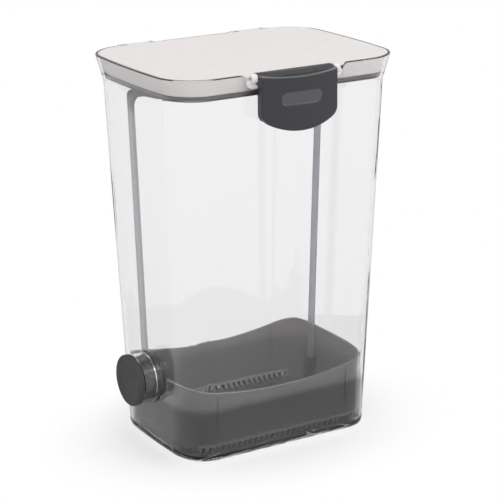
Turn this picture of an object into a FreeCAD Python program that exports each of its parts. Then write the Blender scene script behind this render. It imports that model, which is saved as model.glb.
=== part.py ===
import FreeCAD, Part
import math
import operator
import os
import Sketcher

# Herb keeper: a tall clear container with a hinged, latched lid, a lift-out basket and a side stopper.
# Frame: +Z up, long sides facing -Y (latch) and +Y (hinge), stopper on the -X end.
# Origin: middle of the container's base, on the surface it stands on. Millimetres.
# "In" and "out" are measured from the rim's outline, "drop" from the rim's top.

doc = FreeCAD.newDocument("herb_keeper")
sheet = doc.addObject("Spreadsheet::Sheet", "Sheet")

SIZES = [
    ("rim_length", 160.2, "length over the bowed ends, at the rim"),
    ("rim_width", 118.4, "width over the straight long sides, at the rim"),
    ("rim_corner", 25.5, "corner radius of the rim in plan, less further in"),
    ("end_radius", 520.0, "radius of the slightly bowed narrow ends"),
    ("body_height", 240.0, "height of the rim"),
    ("flare_height", 16.0, "height of the flared mouth"),
    ("flare", 4.4, "how far the flared mouth grows on each side"),
    ("wall_draft", 8.15, "lean of the walls below the flare, each side"),
    ("base_round", 8.0, "rounding of the bottom edge"),
    ("wall", 2.4, "thickness of the container wall"),
    ("rim_wall", 1.8, "thickness of the rim at its top"),
    ("rim_bevel", 0.4, "bevel of the rim's outer edge"),
    ("floor_thickness", 4.5, "thickness of the container floor"),
    ("floor_round", 3.0, "rounding inside at the floor"),
    ("ledge_drop", 12.7, "drop of the gasket ledge"),
    ("ledge_in", 5.4, "how far in the mouth is at the ledge"),
    ("notch_drop", 9.0, "drop of the latch notch in the front rim"),
    ("notch_half_floor", 28.5, "half width of the flat bottom of the notch"),
    ("notch_curve", 4.5, "radius of the two arcs of each notch shoulder"),
    ("catch_half_width", 20.0, "half width of the catch bar"),
    ("catch_drop", 25.0, "drop of the catch bar's underside"),
    ("catch_height", 4.4, "height of the catch bar at the wall"),
    ("catch_lip", 1.4, "height of the catch bar at its tip"),
    ("catch_overlap", 2.0, "how far the catch bar reaches over the hook"),
    ("hinge_out", 2.8, "how far out the hinge axis is"),
    ("hinge_drop", 3.2, "drop of the hinge axis"),
    ("hinge_spread", 40.0, "distance of each hinge from the middle"),
    ("knuckle_width", 15.0, "width of each lid knuckle"),
    ("knuckle_radius", 3.0, "radius of each lid knuckle"),
    ("arm_bevel", 1.0, "bevel between a lid arm's top and its knuckle"),
    ("ear_thickness", 3.5, "thickness of each hinge ear"),
    ("ear_gap", 0.4, "side gap between an ear and its neighbour"),
    ("hinge_notch_drop", 4.5, "drop of the back rim's notches for the lid arms"),
    ("hinge_notch_gap", 0.9, "side gap of those notches"),
    ("hinge_pin_radius", 1.2, "radius of the hinge pins"),
    ("pin_press", 0.05, "radial gap of a pin that is pressed in"),
    ("pin_play", 0.1, "radial gap of a pin that something turns on"),
    ("pin_end_gap", 0.3, "how far a pin's end stays inside its ear"),
    ("spout_height", 46.0, "height of the stopper's axis"),
    ("neck_radius", 15.3, "outside radius of the neck"),
    ("neck_wall", 1.3, "thickness of the neck's wall"),
    ("neck_in", 0.9, "how far in the neck's mouth is"),
    ("neck_length", 7.4, "length of the neck in front of its foot ring"),
    ("collar_step", 1.2, "how far the foot ring stands round the neck"),
    ("lid_gap", 0.5, "gap between the lid and the mouth"),
    ("skirt_depth", 10.0, "height of the lid's skirt"),
    ("top_thickness", 2.0, "thickness of the lid's top"),
    ("skirt_thickness", 1.8, "thickness of the lid's skirt at the bottom"),
    ("skirt_top_in", 4.8, "how far in the skirt's inside face is under the top"),
    ("tab_back", 6.6, "how far in the tab's inside face is"),
    ("tab_front", 0.7, "how far in the tab's front face is"),
    ("latch_in", 0.9, "how far in the latch axis is"),
    ("latch_drop", 2.6, "drop of the latch axis"),
    ("latch_half_width", 25.8, "half width of the latch"),
    ("latch_side_gap", 0.4, "side gap between the latch and the lid's ears"),
    ("latch_ear_end", 30.0, "outer side of the ears that hold the latch"),
    ("latch_sweep", 3.8, "radius kept free for the latch to turn in"),
    ("latch_pin_radius", 1.0, "radius of the latch pin"),
    ("shelf_drop", 6.4, "drop of the lid's shelf under the latch"),
    ("latch_back_in", 0.2, "how far in the latch's side walls reach"),
    ("latch_corner_out", 5.3, "how far out the latch's front corners are"),
    ("latch_bow", 112.4, "radius of the latch's bowed front"),
    ("latch_wall", 1.9, "thickness of the latch's walls"),
    ("latch_plate", 2.2, "thickness of the latch's top"),
    ("latch_plate_back", 0.2, "how far the top stays short of the barrel's back"),
    ("latch_fall_run", 6.9, "length of the sloping front part of the latch's top"),
    ("latch_fall", 1.0, "fall of that part"),
    ("latch_round", 1.0, "rounding of the latch's front edges"),
    ("latch_length", 34.6, "drop of the latch's lowest point"),
    ("latch_sagitta", 7.6, "rise of the latch's bottom arc at the corners"),
    ("hook_in", 2.0, "how far in the tip of the latch's hook is"),
    ("hook_gap", 0.4, "gap between the hook and the catch bar"),
    ("hook_thickness", 2.2, "thickness of the hook"),
    ("hook_half_width", 17.0, "half width of the hook"),
    ("pill_half_length", 14.0, "half length of the bare pill recess"),
    ("pill_drop", 19.0, "drop of the pill recess's lower edge"),
    ("pill_height", 8.0, "height of the pill recess"),
    ("pill_depth", 0.5, "depth of the pill recess"),
    ("gasket_drop", 12.4, "drop of the gasket's underside"),
    ("gasket_flange", 1.3, "thickness of the gasket's inner flange"),
    ("gasket_gap", 0.3, "gap between the relaxed gasket and the mouth"),
    ("liner_fit", 0.1, "gap between the gasket and the liner in it"),
    ("liner_drop", 13.4, "drop of the liner's underside"),
    ("liner_floor", 2.0, "thickness of the liner's floor"),
    ("liner_in", 7.4, "how far in the liner's flange is"),
    ("liner_step", 0.8, "step from the liner's flange to its ring"),
    ("liner_wall", 1.8, "thickness of the liner's ring"),
    ("basket_in", 4.4, "how far inside the container's outside the basket is"),
    ("basket_bottom", 6.0, "underside of the basket's floor"),
    ("basket_top", 48.5, "height of the basket at its ends"),
    ("saddle_dip", 7.5, "how far the basket's rim dips in the middle"),
    ("basket_round", 3.5, "rounding of the basket's bottom edge"),
    ("basket_wall", 1.8, "thickness of the basket's wall"),
    ("basket_floor", 2.0, "thickness of the basket's floor"),
    ("basket_foot_radius", 4.0, "radius of the basket's feet"),
    ("basket_foot_end_in", 35.1, "how far in the feet are from the ends"),
    ("basket_foot_side_in", 34.2, "how far in the feet are from the long sides"),
    ("rib_in", 34.1, "how far in the basket's ribs are from the ends"),
    ("rib_width", 1.2, "width of a basket rib"),
    ("rib_rise", 0.8, "how far a rib stands out"),
    ("rib_bottom", 17.0, "lower end of a rib"),
    ("rib_top", 43.6, "upper end of a rib"),
    ("slot_width", 1.2, "width of a drain slot"),
    ("slot_pitch", 3.9, "pitch of the drain slots"),
    ("slot_in", 30.1, "how far in the row of slots ends"),
    ("slot_rise", 0.8, "lower end of a slot above the basket's underside"),
    ("slot_height", 3.4, "height of a drain slot"),
    ("port_gap", 1.1, "gap between the plug and the basket's cut-out"),
    ("handle_clear", 1.4, "side gap between the handle's arms and the plug"),
    ("handle_width", 4.6, "width of the handle across its arms"),
    ("handle_thickness", 2.2, "thickness of the handle's arms"),
    ("handle_foot_in", 2.6, "arm's middle line to the basket's end wall, at the foot"),
    ("handle_top_in", 7.0, "arm's middle line to the container's end wall, at the top"),
    ("handle_foot_rise", 4.3, "height of the handle's feet above the basket's floor"),
    ("handle_top_gap", 0.8, "gap between the handle and the lid's liner"),
    ("handle_bar", 4.2, "height of the cross bar"),
    ("handle_corner", 8.0, "outside corner radius of the handle"),
    ("handle_inner_corner", 10.0, "inside corner radius of the handle"),
    ("socket_gap", 0.2, "gap between a handle foot and its socket"),
    ("socket_wall", 1.4, "thickness of the socket's walls"),
    ("socket_height", 20.0, "height of the sockets above the basket's floor"),
    ("stopper_overhang", 0.6, "how far the stopper's disc reaches past the neck"),
    ("stopper_gap", 0.3, "gap between the disc and the neck's mouth"),
    ("stopper_thickness", 4.3, "thickness of the disc"),
    ("stopper_round", 1.0, "rounding of the disc's edges"),
    ("stopper_dish", 1.3, "depth of the dished face"),
    ("dish_slope", 3.4, "width of the slope round the dish"),
    ("plug_gap", 0.3, "gap between the plug and the neck's bore"),
    ("plug_length", 17.0, "length of the plug behind the disc"),
    ("plug_wall", 3.2, "thickness of the plug's wall"),
    ("plug_web", 7.8, "thickness of the stopper at its closed end"),
    ("seal_rise", 0.2, "rise of the plug's sealing ribs"),
    ("seal_width", 1.2, "width of a sealing rib"),
    ("seal_pitch", 4.2, "pitch of the sealing ribs"),
]

for row, (name, number, note) in enumerate(SIZES, 1):
    sheet.set("A%d" % row, name)
    sheet.set("B%d" % row, str(number))
    sheet.set("C%d" % row, note)
    sheet.setAlias("B%d" % row, name)
doc.recompute()


class Size:
    """A number together with the sheet expression it comes from."""

    def __init__(self, value, text):
        self.value = value
        self.text = text

    def __add__(self, other):
        return combine("+", self, other)

    def __radd__(self, other):
        return combine("+", other, self)

    def __sub__(self, other):
        return combine("-", self, other)

    def __rsub__(self, other):
        return combine("-", other, self)

    def __mul__(self, other):
        return combine("*", self, other)

    def __rmul__(self, other):
        return combine("*", other, self)

    def __truediv__(self, other):
        return combine("/", self, other)

    def __neg__(self):
        return combine("-", 0, self)


SIGNS = {"+": operator.add, "-": operator.sub, "*": operator.mul, "/": operator.truediv}


def sized(number):
    return number if isinstance(number, Size) else Size(float(number), repr(number))


def combine(sign, left, right):
    left, right = sized(left), sized(right)
    return Size(SIGNS[sign](left.value, right.value), "(%s %s %s)" % (left.text, sign, right.text))


def root(size):
    return Size(math.sqrt(size.value), "sqrt(%s)" % size.text)


class Named:
    """The sheet's sizes by name."""


S = Named()
for name, number, note in SIZES:
    setattr(S, name, Size(number, "Sheet." + name))


def bind(thing, prop, size):
    """Tie one property to the sheet."""
    thing.setExpression(prop, sized(size).text)


def new_body(name):
    body = doc.addObject("PartDesign::Body", name)
    body.Label = name
    return body


def new_sketch(body, name, plane, x=0.0, y=0.0, z=0.0):
    """A sketch on one of the body's own planes, moved by x, y, z in the plane's own directions."""
    sketch = body.newObject("Sketcher::SketchObject", name)
    support = [item for item in body.Origin.OriginFeatures if item.Role == plane][0]
    sketch.AttachmentSupport = (support, [""])
    sketch.MapMode = "FlatFace"
    for axis, size in (("x", sized(x)), ("y", sized(y)), ("z", sized(z))):
        if size.value:
            bind(sketch, "AttachmentOffset.Base.%s" % axis, size)
    return sketch


def fix(sketch, kind, *where_and_size):
    """Add one driving dimension and tie it to the sheet."""
    where, size = where_and_size[:-1], sized(where_and_size[-1])
    index = sketch.addConstraint(Sketcher.Constraint(kind, *where, size.value))
    sketch.setExpression("Constraints[%d]" % index, size.text)


def fix_point(sketch, item, end, x, y):
    fix(sketch, "DistanceX", -1, 1, item, end, x)
    fix(sketch, "DistanceY", -1, 1, item, end, y)


def add_circle(sketch, x, y, radius):
    x, y, radius = sized(x), sized(y), sized(radius)
    centre = FreeCAD.Vector(x.value, y.value, 0)
    item = sketch.addGeometry(Part.Circle(centre, FreeCAD.Vector(0, 0, 1), radius.value), False)
    fix_point(sketch, item, 3, x, y)
    fix(sketch, "Radius", item, radius)


def add_path(sketch, steps):
    """A closed run of lines and arcs. A step is (x, y), or (x, y, radius) for an arc that ends there:
    a positive radius turns left on the way, a negative one turns right."""
    points = [(sized(step[0]), sized(step[1])) for step in steps]
    ends = []
    for index, step in enumerate(steps):
        x0, y0 = (size.value for size in points[index - 1])
        x1, y1 = (size.value for size in points[index])
        start, stop = FreeCAD.Vector(x0, y0, 0), FreeCAD.Vector(x1, y1, 0)
        if len(step) == 2:
            item = sketch.addGeometry(Part.LineSegment(start, stop), False)
            ends.append((item, 1, 2))
            continue
        radius = sized(step[2])
        chord = stop - start
        rise = math.sqrt(max(radius.value ** 2 - chord.Length ** 2 / 4, 0))
        side = FreeCAD.Vector(-chord.y, chord.x, 0).normalize() * math.copysign(rise, radius.value)
        centre = (start + stop) / 2 + side
        circle = Part.Circle(centre, FreeCAD.Vector(0, 0, 1), abs(radius.value))
        first, last = (start, stop) if radius.value > 0 else (stop, start)
        angles = [math.atan2(p.y - centre.y, p.x - centre.x) for p in (first, last)]
        if angles[1] < angles[0]:
            angles[1] += 2 * math.pi
        item = sketch.addGeometry(Part.ArcOfCircle(circle, *angles), False)
        ends.append((item, 1, 2) if radius.value > 0 else (item, 2, 1))
        fix(sketch, "Radius", item, radius if radius.value > 0 else -radius)
    for index, (item, start, stop) in enumerate(ends):
        before, _, before_stop = ends[index - 1]
        sketch.addConstraint(Sketcher.Constraint("Coincident", before, before_stop, item, start))
        x, y = points[index]
        fix_point(sketch, item, stop, x, y)


def add_box(sketch, x0, y0, x1, y1):
    add_path(sketch, [(x0, y0), (x1, y0), (x1, y1), (x0, y1)])
def add_outline(sketch, inset):
    """The keeper's plan outline, set in from the rim: straight long sides, bowed ends, round corners.
    All arcs keep the rim's centres, so each wall lofts to planes and cones."""
    half_length, half_width = S.rim_length / 2 - inset, S.rim_width / 2 - inset
    bow, corner = S.end_radius - inset, S.rim_corner - inset
    bow_centre = (half_length - bow).value
    corner_y = (half_width - corner).value
    reach = (bow - corner).value
    corner_x = bow_centre + math.sqrt(reach ** 2 - corner_y ** 2)
    sweep = math.asin(corner_y / reach)
    up = FreeCAD.Vector(0, 0, 1)

    def arc(x, y, radius, start, stop):
        circle = Part.Circle(FreeCAD.Vector(x, y, 0), up, radius.value)
        return sketch.addGeometry(Part.ArcOfCircle(circle, start, stop), False)

    def line(x0, x1, y):
        segment = Part.LineSegment(FreeCAD.Vector(x0, y, 0), FreeCAD.Vector(x1, y, 0))
        return sketch.addGeometry(segment, False)

    turn = math.pi
    right_end = arc(bow_centre, 0, bow, -sweep, sweep)
    back_right = arc(corner_x, corner_y, corner, sweep, turn / 2)
    back = line(corner_x, -corner_x, half_width.value)
    back_left = arc(-corner_x, corner_y, corner, turn / 2, turn - sweep)
    left_end = arc(-bow_centre, 0, bow, turn - sweep, turn + sweep)
    front_left = arc(-corner_x, -corner_y, corner, turn + sweep, 1.5 * turn)
    front = line(-corner_x, corner_x, -half_width.value)
    front_right = arc(corner_x, -corner_y, corner, 1.5 * turn, 2 * turn - sweep)
    ring = [right_end, back_right, back, back_left, left_end, front_left, front, front_right]
    for index, item in enumerate(ring):
        sketch.addConstraint(Sketcher.Constraint("Tangent", ring[index - 1], 2, item, 1))
    sketch.addConstraint(Sketcher.Constraint("Horizontal", back))
    sketch.addConstraint(Sketcher.Constraint("Horizontal", front))
    for item in (right_end, left_end):
        fix(sketch, "Radius", item, bow)
    for item in (back_right, back_left, front_left, front_right):
        fix(sketch, "Radius", item, corner)
    fix_point(sketch, right_end, 3, half_length - bow, 0)
    fix_point(sketch, left_end, 3, bow - half_length, 0)
    fix(sketch, "DistanceY", -1, 1, back, 1, half_width)
    fix(sketch, "DistanceY", -1, 1, front, 1, -half_width)


def volume(body):
    return body.Shape.Volume if body.Shape.Solids else 0.0


def finish_feature(body, feature, before, grows):
    """Recompute and make sure the feature added or removed material as it should."""
    doc.recompute()
    after = volume(body)
    if abs(after - before) < 1e-6 or (after > before) != grows:
        raise RuntimeError("%s: volume went from %.3f to %.3f" % (feature.Name, before, after))
    return feature


def loft(body, name, sections, grows=True):
    """Ruled loft through outlines given as (height, inset)."""
    before = volume(body)
    sketches = []
    for number, (height, inset) in enumerate(sections):
        sketch = new_sketch(body, "%s_section_%d" % (name, number), "XY_Plane", z=height)
        add_outline(sketch, sized(inset))
        sketches.append(sketch)
    kind = "PartDesign::AdditiveLoft" if grows else "PartDesign::SubtractiveLoft"
    feature = body.newObject(kind, name)
    feature.Profile = sketches[0]
    feature.Sections = sketches[1:]
    feature.Ruled = True
    return finish_feature(body, feature, before, grows)


def extrude(body, name, sketch, length, grows=True, symmetric=False):
    """Pad or pocket a sketch along its plane's normal, or half to each side."""
    before = volume(body)
    feature = body.newObject("PartDesign::Pad" if grows else "PartDesign::Pocket", name)
    feature.Profile = sketch
    if symmetric:
        feature.SideType = "Symmetric"
    # By itself a pocket runs against the normal.
    feature.Reversed = not grows
    bind(feature, "Length", length)
    return finish_feature(body, feature, before, grows)


def revolve(body, name, sketch, grows=True, axis="H_Axis"):
    """Turn a sketch once round one of its own axes."""
    before = volume(body)
    feature = body.newObject("PartDesign::Revolution" if grows else "PartDesign::Groove", name)
    feature.Profile = sketch
    feature.ReferenceAxis = (sketch, [axis])
    feature.Angle = 360
    return finish_feature(body, feature, before, grows)


def round_edges(body, name, radius, chosen):
    """Fillet the outer edges of the body's present shape that pass the test."""
    before = volume(body)
    base = body.Tip
    edges = ["Edge%d" % number for number, edge in enumerate(base.Shape.Edges, 1) if chosen(edge.BoundBox)]
    feature = body.newObject("PartDesign::Fillet", name)
    feature.Base = (base, edges)
    bind(feature, "Radius", radius)
    return finish_feature(body, feature, before, grows=False)


def eased(corner, before, after):
    """Three points round a square corner: one leg back from it, half way round, one leg on."""
    share = 1 - math.sqrt(0.5)
    x, y = corner
    return [
        (x + before[0], y + before[1]),
        (x + (before[0] + after[0]) * share, y + (before[1] + after[1]) * share),
        (x + after[0], y + after[1]),
    ]


# Heights, places and insets shared by several pieces.
half_length = S.rim_length / 2
half_width = S.rim_width / 2
flare_z = S.body_height - S.flare_height
ledge_z = S.body_height - S.ledge_drop
skirt_z = S.body_height - S.skirt_depth
hinge_y = half_width + S.hinge_out
hinge_z = S.body_height - S.hinge_drop
latch_y = S.latch_in - half_width
latch_z = S.body_height - S.latch_drop
hook_tip_y = S.hook_in - half_width
catch_z = S.body_height - S.catch_drop
neck_face = half_length - S.neck_in
neck_bore = S.neck_radius - S.neck_wall
plug_radius = neck_bore - S.plug_gap
sides = (("left", -1), ("right", 1))


def flare_inset(height):
    """Inset of the container's outside in the flare."""
    return S.flare * (S.body_height - height) / S.flare_height


def wall_inset(height):
    """Inset of the container's outside below the flare."""
    return S.flare + S.wall_draft * (1 - height / flare_z)


def mouth_inset(height):
    """Inset of the mouth's inside face, above the ledge."""
    return S.ledge_in - (S.ledge_in - S.rim_wall) * (height - ledge_z) / S.ledge_drop


def basket_inset(height):
    return wall_inset(height) + S.basket_in


def rounded_foot(bottom, inset, radius, steps=3):
    """Sections of a rounded bottom edge, up to where the wall goes on: inset is a function of the height."""
    sections = []
    for step in range(steps + 1):
        angle = math.pi / 2 * step / steps
        height = bottom + radius * round(1 - math.cos(angle), 6)
        sections.append((height, inset(height) + radius * round(1 - math.sin(angle), 6)))
    return sections


# Container: one thick clear moulding with its neck, catch bar and hinge ears.
container = new_body("container")
bevel_z = S.body_height - S.rim_bevel
loft(container, "shell", rounded_foot(sized(0), wall_inset, S.base_round, steps=4) + [
    (flare_z, S.flare),
    (bevel_z, flare_inset(bevel_z)),
    (S.body_height, S.rim_bevel),
])
loft(container, "cavity", rounded_foot(
    S.floor_thickness, lambda height: wall_inset(height) + S.wall, S.floor_round,
) + [
    (flare_z, S.flare + S.wall),
    (ledge_z, S.flare + S.wall),
], grows=False)
loft(container, "mouth", [(ledge_z, S.ledge_in), (S.body_height, S.rim_wall)], grows=False)


def notch_path(gap):
    """Front notch: flat floor and an S-shaped shoulder at each end. The gap shrinks it for the lid."""
    floor_z = S.body_height - S.notch_drop + gap
    shoulder_z = S.body_height - S.notch_curve
    inner, outer = S.notch_curve - gap, S.notch_curve + gap
    middle = S.notch_half_floor + inner
    far = S.notch_half_floor + S.notch_curve * 2
    top = far - root(outer * outer - S.notch_curve * S.notch_curve) if gap else far
    return [
        (-S.notch_half_floor, floor_z, inner),
        (S.notch_half_floor, floor_z),
        (middle, shoulder_z, inner),
        (top, S.body_height, -outer),
        (-top, S.body_height),
        (-middle, shoulder_z, -outer),
    ]


through_rim = S.ledge_in * 4
notch_sketch = new_sketch(container, "notch_sketch", "XZ_Plane", z=half_width)
add_path(notch_sketch, notch_path(0))
extrude(container, "front_notch", notch_sketch, through_rim, grows=False, symmetric=True)

# The bar that the latch's hook catches under, with a slanted top.
catch_root = wall_inset(catch_z) + S.wall / 2 - half_width
catch_tip = hook_tip_y - S.catch_overlap
catch_sketch = new_sketch(container, "catch_sketch", "YZ_Plane")
add_path(catch_sketch, [
    (catch_root, catch_z),
    (catch_root, catch_z + S.catch_height),
    (catch_tip + S.catch_height - S.catch_lip, catch_z + S.catch_height),
    (catch_tip, catch_z + S.catch_lip),
    (catch_tip, catch_z),
])
extrude(container, "catch_bar", catch_sketch, S.catch_half_width * 2, symmetric=True)

for side, sign in sides:
    centre = S.hinge_spread * sign
    half = S.knuckle_width / 2 + S.hinge_notch_gap
    slot = new_sketch(container, "hinge_notch_sketch_" + side, "XZ_Plane", z=-half_width)
    add_box(slot, centre - half, S.body_height - S.hinge_notch_drop, centre + half, S.body_height)
    extrude(container, "hinge_notch_" + side, slot, through_rim, grows=False, symmetric=True)

# Two ears at each hinge: a round eye whose gusset leaves the wall at the ledge and meets the eye at a
# tangent.
foot_y = half_width - flare_inset(ledge_z)
run, rise = hinge_y - foot_y, hinge_z - ledge_z
span = run * run + rise * rise
eye = S.hinge_drop * S.hinge_drop
lean = S.hinge_drop * root(span - eye)
tangent_y = hinge_y + (lean * rise - eye * run) / span
tangent_z = hinge_z - (lean * run + eye * rise) / span
for side, sign in sides:
    for place, way in (("inner", -1), ("outer", 1)):
        offset = S.knuckle_width / 2 + S.ear_gap + S.ear_thickness / 2
        name = "ear_%s_%s" % (side, place)
        ear = new_sketch(container, name + "_sketch", "YZ_Plane", z=S.hinge_spread * sign + offset * way)
        add_path(ear, [
            (half_width - (flare_inset(ledge_z) + S.ledge_in) / 2, ledge_z),
            (foot_y, ledge_z),
            (tangent_y, tangent_z),
            (hinge_y, S.body_height, S.hinge_drop),
            (half_width - (S.rim_bevel + S.rim_wall) / 2, S.body_height),
        ])
        extrude(container, name, ear, S.ear_thickness, symmetric=True)
ear_bore = new_sketch(container, "ear_bore_sketch", "YZ_Plane")
add_circle(ear_bore, hinge_y, hinge_z, S.hinge_pin_radius + S.pin_press)
extrude(container, "ear_bore", ear_bore, S.rim_length, grows=False, symmetric=True)

neck_root = half_length - wall_inset(S.spout_height) - S.wall / 2
collar_face = neck_face - S.neck_length
collar_radius = S.neck_radius + S.collar_step
neck_sketch = new_sketch(container, "neck_sketch", "XZ_Plane", y=S.spout_height)
add_path(neck_sketch, [
    (-neck_root, 0),
    (-neck_root, collar_radius),
    (-collar_face, collar_radius),
    (-collar_face, S.neck_radius),
    (-neck_face, S.neck_radius),
    (-neck_face, 0),
])
revolve(container, "neck", neck_sketch)
bore_sketch = new_sketch(container, "neck_bore_sketch", "XZ_Plane", y=S.spout_height)
add_box(bore_sketch, -neck_face, 0, S.wall * 2 - neck_root, neck_bore)
revolve(container, "neck_bore_cut", bore_sketch, grows=False)

# Lid cover: opaque moulding that drops inside the mouth, with a tab in the front notch.
lid_cover = new_body("lid_cover")
under_z = S.body_height - S.top_thickness


def lid_inset(height):
    return mouth_inset(height) + S.lid_gap


loft(lid_cover, "cover", [(skirt_z, lid_inset(skirt_z)), (S.body_height, lid_inset(S.body_height))])
loft(lid_cover, "underside", [
    (skirt_z, lid_inset(skirt_z) + S.skirt_thickness),
    (under_z, S.skirt_top_in),
], grows=False)

tab_sketch = new_sketch(lid_cover, "tab_sketch", "XZ_Plane", z=half_width - S.tab_back)
add_path(tab_sketch, notch_path(S.lid_gap))
extrude(lid_cover, "tab", tab_sketch, S.tab_back - S.tab_front)

# Room for the latch between two ears, which carry its pin.
latch_clear = S.latch_half_width + S.latch_side_gap
for side, sign in sides:
    middle = (latch_clear + S.latch_ear_end) / 2 * sign
    ear = new_sketch(lid_cover, "latch_ear_sketch_" + side, "YZ_Plane", z=middle)
    add_circle(ear, latch_y, latch_z, S.latch_drop)
    extrude(lid_cover, "latch_ear_" + side, ear, S.latch_ear_end - latch_clear, symmetric=True)
sweep_sketch = new_sketch(lid_cover, "latch_sweep_sketch", "YZ_Plane")
add_circle(sweep_sketch, latch_y, latch_z, S.latch_sweep)
extrude(lid_cover, "latch_sweep_cut", sweep_sketch, latch_clear * 2, grows=False, symmetric=True)
shelf_sketch = new_sketch(lid_cover, "shelf_sketch", "YZ_Plane")
add_box(shelf_sketch, latch_y - S.latch_sweep, S.body_height - S.shelf_drop, latch_y, S.body_height)
extrude(lid_cover, "shelf_cut", shelf_sketch, latch_clear * 2, grows=False, symmetric=True)
latch_bore = new_sketch(lid_cover, "latch_bore_sketch", "YZ_Plane")
add_circle(latch_bore, latch_y, latch_z, S.latch_pin_radius + S.pin_press)
extrude(lid_cover, "latch_bore", latch_bore, S.rim_width, grows=False, symmetric=True)

# Two arms at the back, each with the knuckle that turns on a hinge pin.
for side, sign in sides:
    arm = new_sketch(lid_cover, "arm_sketch_" + side, "YZ_Plane", z=S.hinge_spread * sign)
    arm_z = under_z - S.lid_gap
    add_path(arm, [
        (half_width - S.skirt_top_in, arm_z),
        (hinge_y, arm_z),
        (hinge_y, hinge_z + S.knuckle_radius),
        (hinge_y - S.arm_bevel, S.body_height),
        (half_width - S.skirt_top_in, S.body_height),
    ])
    extrude(lid_cover, "arm_" + side, arm, S.knuckle_width, symmetric=True)
    knuckle = new_sketch(lid_cover, "knuckle_sketch_" + side, "YZ_Plane", z=S.hinge_spread * sign)
    add_circle(knuckle, hinge_y, hinge_z, S.knuckle_radius)
    extrude(lid_cover, "knuckle_" + side, knuckle, S.knuckle_width, symmetric=True)
knuckle_bore = new_sketch(lid_cover, "knuckle_bore_sketch", "YZ_Plane")
add_circle(knuckle_bore, hinge_y, hinge_z, S.hinge_pin_radius + S.pin_play)
extrude(lid_cover, "knuckle_bore", knuckle_bore, S.rim_length, grows=False, symmetric=True)

# Lid liner: clear tray inside the cover whose flange clamps the gasket.
lid_liner = new_body("lid_liner")
liner_z = S.body_height - S.liner_drop
liner_top = liner_z + S.liner_floor
ring_in = S.liner_in + S.liner_step
loft(lid_liner, "flange", [(liner_z, S.liner_in), (liner_top, S.liner_in)])
loft(lid_liner, "ring", [(liner_top, ring_in), (under_z, ring_in)])
loft(lid_liner, "tray", [
    (liner_top, ring_in + S.liner_wall),
    (under_z, ring_in + S.liner_wall),
], grows=False)

# Lid gasket: silicone ring clamped between cover and liner, resting near the container's ledge.
lid_gasket = new_body("lid_gasket")
gasket_z = S.body_height - S.gasket_drop
gasket_flange_z = skirt_z - S.gasket_flange
loft(lid_gasket, "band", [
    (gasket_z, mouth_inset(gasket_z) + S.gasket_gap),
    (skirt_z, mouth_inset(skirt_z) + S.gasket_gap),
])
loft(lid_gasket, "band_inside", [
    (gasket_z, S.liner_in - S.liner_fit),
    (gasket_flange_z, S.liner_in - S.liner_fit),
], grows=False)
loft(lid_gasket, "flange_inside", [
    (gasket_flange_z, ring_in - S.liner_fit),
    (skirt_z, ring_in - S.liner_fit),
], grows=False)

# Latch: one bowed flap with a round back edge, a hook inside and a bare pill-shaped recess.
latch = new_body("latch")
latch_back_y = S.latch_back_in - half_width
corner_y = -half_width - S.latch_corner_out
bow_centre_y = corner_y + root(S.latch_bow * S.latch_bow - S.latch_half_width * S.latch_half_width)
inside_half = S.latch_half_width - S.latch_wall
inside_bow = S.latch_bow - S.latch_wall
latch_bottom = S.body_height - S.latch_length
latch_under_z = S.body_height - S.latch_plate


def bow_face(radius, x):
    """Y of the bowed front, or of a face inside it, at a distance x from the middle."""
    return bow_centre_y - root(radius * radius - x * x)


face_sketch = new_sketch(latch, "face_sketch", "XY_Plane", z=latch_bottom)
add_path(face_sketch, [
    (-S.latch_half_width, latch_back_y),
    (-S.latch_half_width, corner_y),
    (S.latch_half_width, corner_y, S.latch_bow),
    (S.latch_half_width, latch_back_y),
])
extrude(latch, "face", face_sketch, S.latch_length)
round_edges(latch, "front_corners", S.latch_round, lambda box: (
    box.XLength < 0.01 and box.YMax < corner_y.value + 0.01 and box.ZLength > S.latch_round.value))
inside_sketch = new_sketch(latch, "inside_sketch", "XY_Plane", z=latch_bottom)
add_path(inside_sketch, [
    (-inside_half, latch_back_y),
    (-inside_half, bow_face(inside_bow, inside_half)),
    (inside_half, bow_face(inside_bow, inside_half), inside_bow),
    (inside_half, latch_back_y),
])
extrude(latch, "inside", inside_sketch, latch_under_z - latch_bottom, grows=False)

below = latch_bottom - S.latch_wall
beside = S.latch_half_width + S.latch_wall
bottom_z = latch_bottom + S.latch_sagitta
bottom_radius = (S.latch_half_width * S.latch_half_width + S.latch_sagitta * S.latch_sagitta) / (
    S.latch_sagitta * 2)
bottom_sketch = new_sketch(latch, "bottom_sketch", "XZ_Plane", z=-corner_y)
add_path(bottom_sketch, [
    (-S.latch_half_width, bottom_z),
    (S.latch_half_width, bottom_z, bottom_radius),
    (beside, bottom_z),
    (beside, below),
    (-beside, below),
    (-beside, bottom_z),
])
extrude(latch, "bottom_arc", bottom_sketch, half_width, grows=False, symmetric=True)

barrel_sketch = new_sketch(latch, "barrel_sketch", "YZ_Plane")
add_circle(barrel_sketch, latch_y, latch_z, S.latch_drop)
extrude(latch, "barrel", barrel_sketch, S.latch_half_width * 2, symmetric=True)
plate_sketch = new_sketch(latch, "plate_sketch", "YZ_Plane")
plate_back_y = latch_y + S.latch_drop - S.latch_plate_back
add_box(plate_sketch, latch_back_y - S.latch_wall, latch_under_z, plate_back_y, S.body_height)
extrude(latch, "plate", plate_sketch, S.latch_half_width * 2, symmetric=True)

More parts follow.
